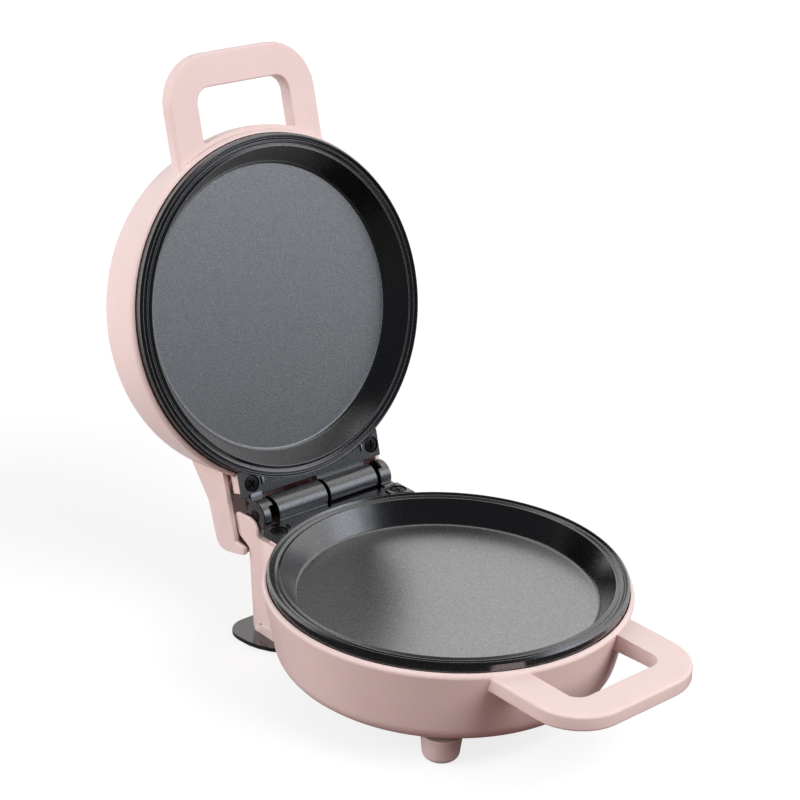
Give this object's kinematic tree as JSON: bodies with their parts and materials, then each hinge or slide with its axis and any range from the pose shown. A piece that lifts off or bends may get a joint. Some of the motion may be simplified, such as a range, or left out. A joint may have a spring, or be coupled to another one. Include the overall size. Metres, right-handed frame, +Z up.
{
  "type": "donut maker",
  "caption": "Hinged table-top maker with flat round non-stick pans, loop handles on base and lid, a hinge tower on a stand plate, and feet.",
  "frame": {"origin": "on the table, under the middle of the machine's footprint with the lid open", "axes": "+Z up, +Y towards the hinge, +X to the right seen from the front handle"},
  "size_m": [0.1212, 0.2134, 0.1914],
  "materials": {
    "shell_plastic": "soft pink moulding with a satin gloss",
    "plate_coating": "dark grey non-stick coating with a fine metallic fleck",
    "cover_plastic": "matt dark grey moulding",
    "stand_gloss": "glossy black",
    "rubber": "matt",
    "screw_steel": "zinc plated",
    "pin_steel": "ground steel, blackened",
    "black_screw": "black oxide",
    "heater_tube": "drawn steel tube, heat tinted",
    "reflector_sheet": "bright rolled sheet",
    "phenolic": "moulded phenolic",
    "ceramic": "unglazed",
    "lens_red": "clear red moulding",
    "lamp_body": "moulded lamp body"
  },
  "bodies": {
    "base": {"base_shell": "shell_plastic", "bottom_cover": "cover_plastic", "front_feet": "shell_plastic", "stand_plate": "stand_gloss", "stand_pads": "rubber", "stand_screws": "screw_steel", "cover_screws": "screw_steel", "lower_plate": "plate_coating", "lower_plate_screws": "black_screw", "lower_heater": "heater_tube", "lower_heater_clamps": "screw_steel", "lower_reflector": "reflector_sheet", "lower_reflector_screws": "screw_steel", "thermostat": "phenolic", "thermal_fuse": "ceramic", "terminal_block": "ceramic", "cord_gland": "rubber", "hinge_pin": "pin_steel"},
    "lid": {"lid_shell": "shell_plastic", "upper_plate": "plate_coating", "upper_plate_screws": "black_screw", "upper_heater": "heater_tube", "upper_heater_clamps": "screw_steel", "upper_reflector": "reflector_sheet", "upper_reflector_screws": "screw_steel", "indicator_lenses": "lens_red", "indicator_lamps": "lamp_body"}
  },
  "joints": [
    {"name": "lid_hinge", "type": "hinge", "parent": "base", "child": "lid", "pos_m": [0, 0.04829, 0.0445], "axis": [1, 0, 0], "range_deg": [0, 105.84]}
  ]
}
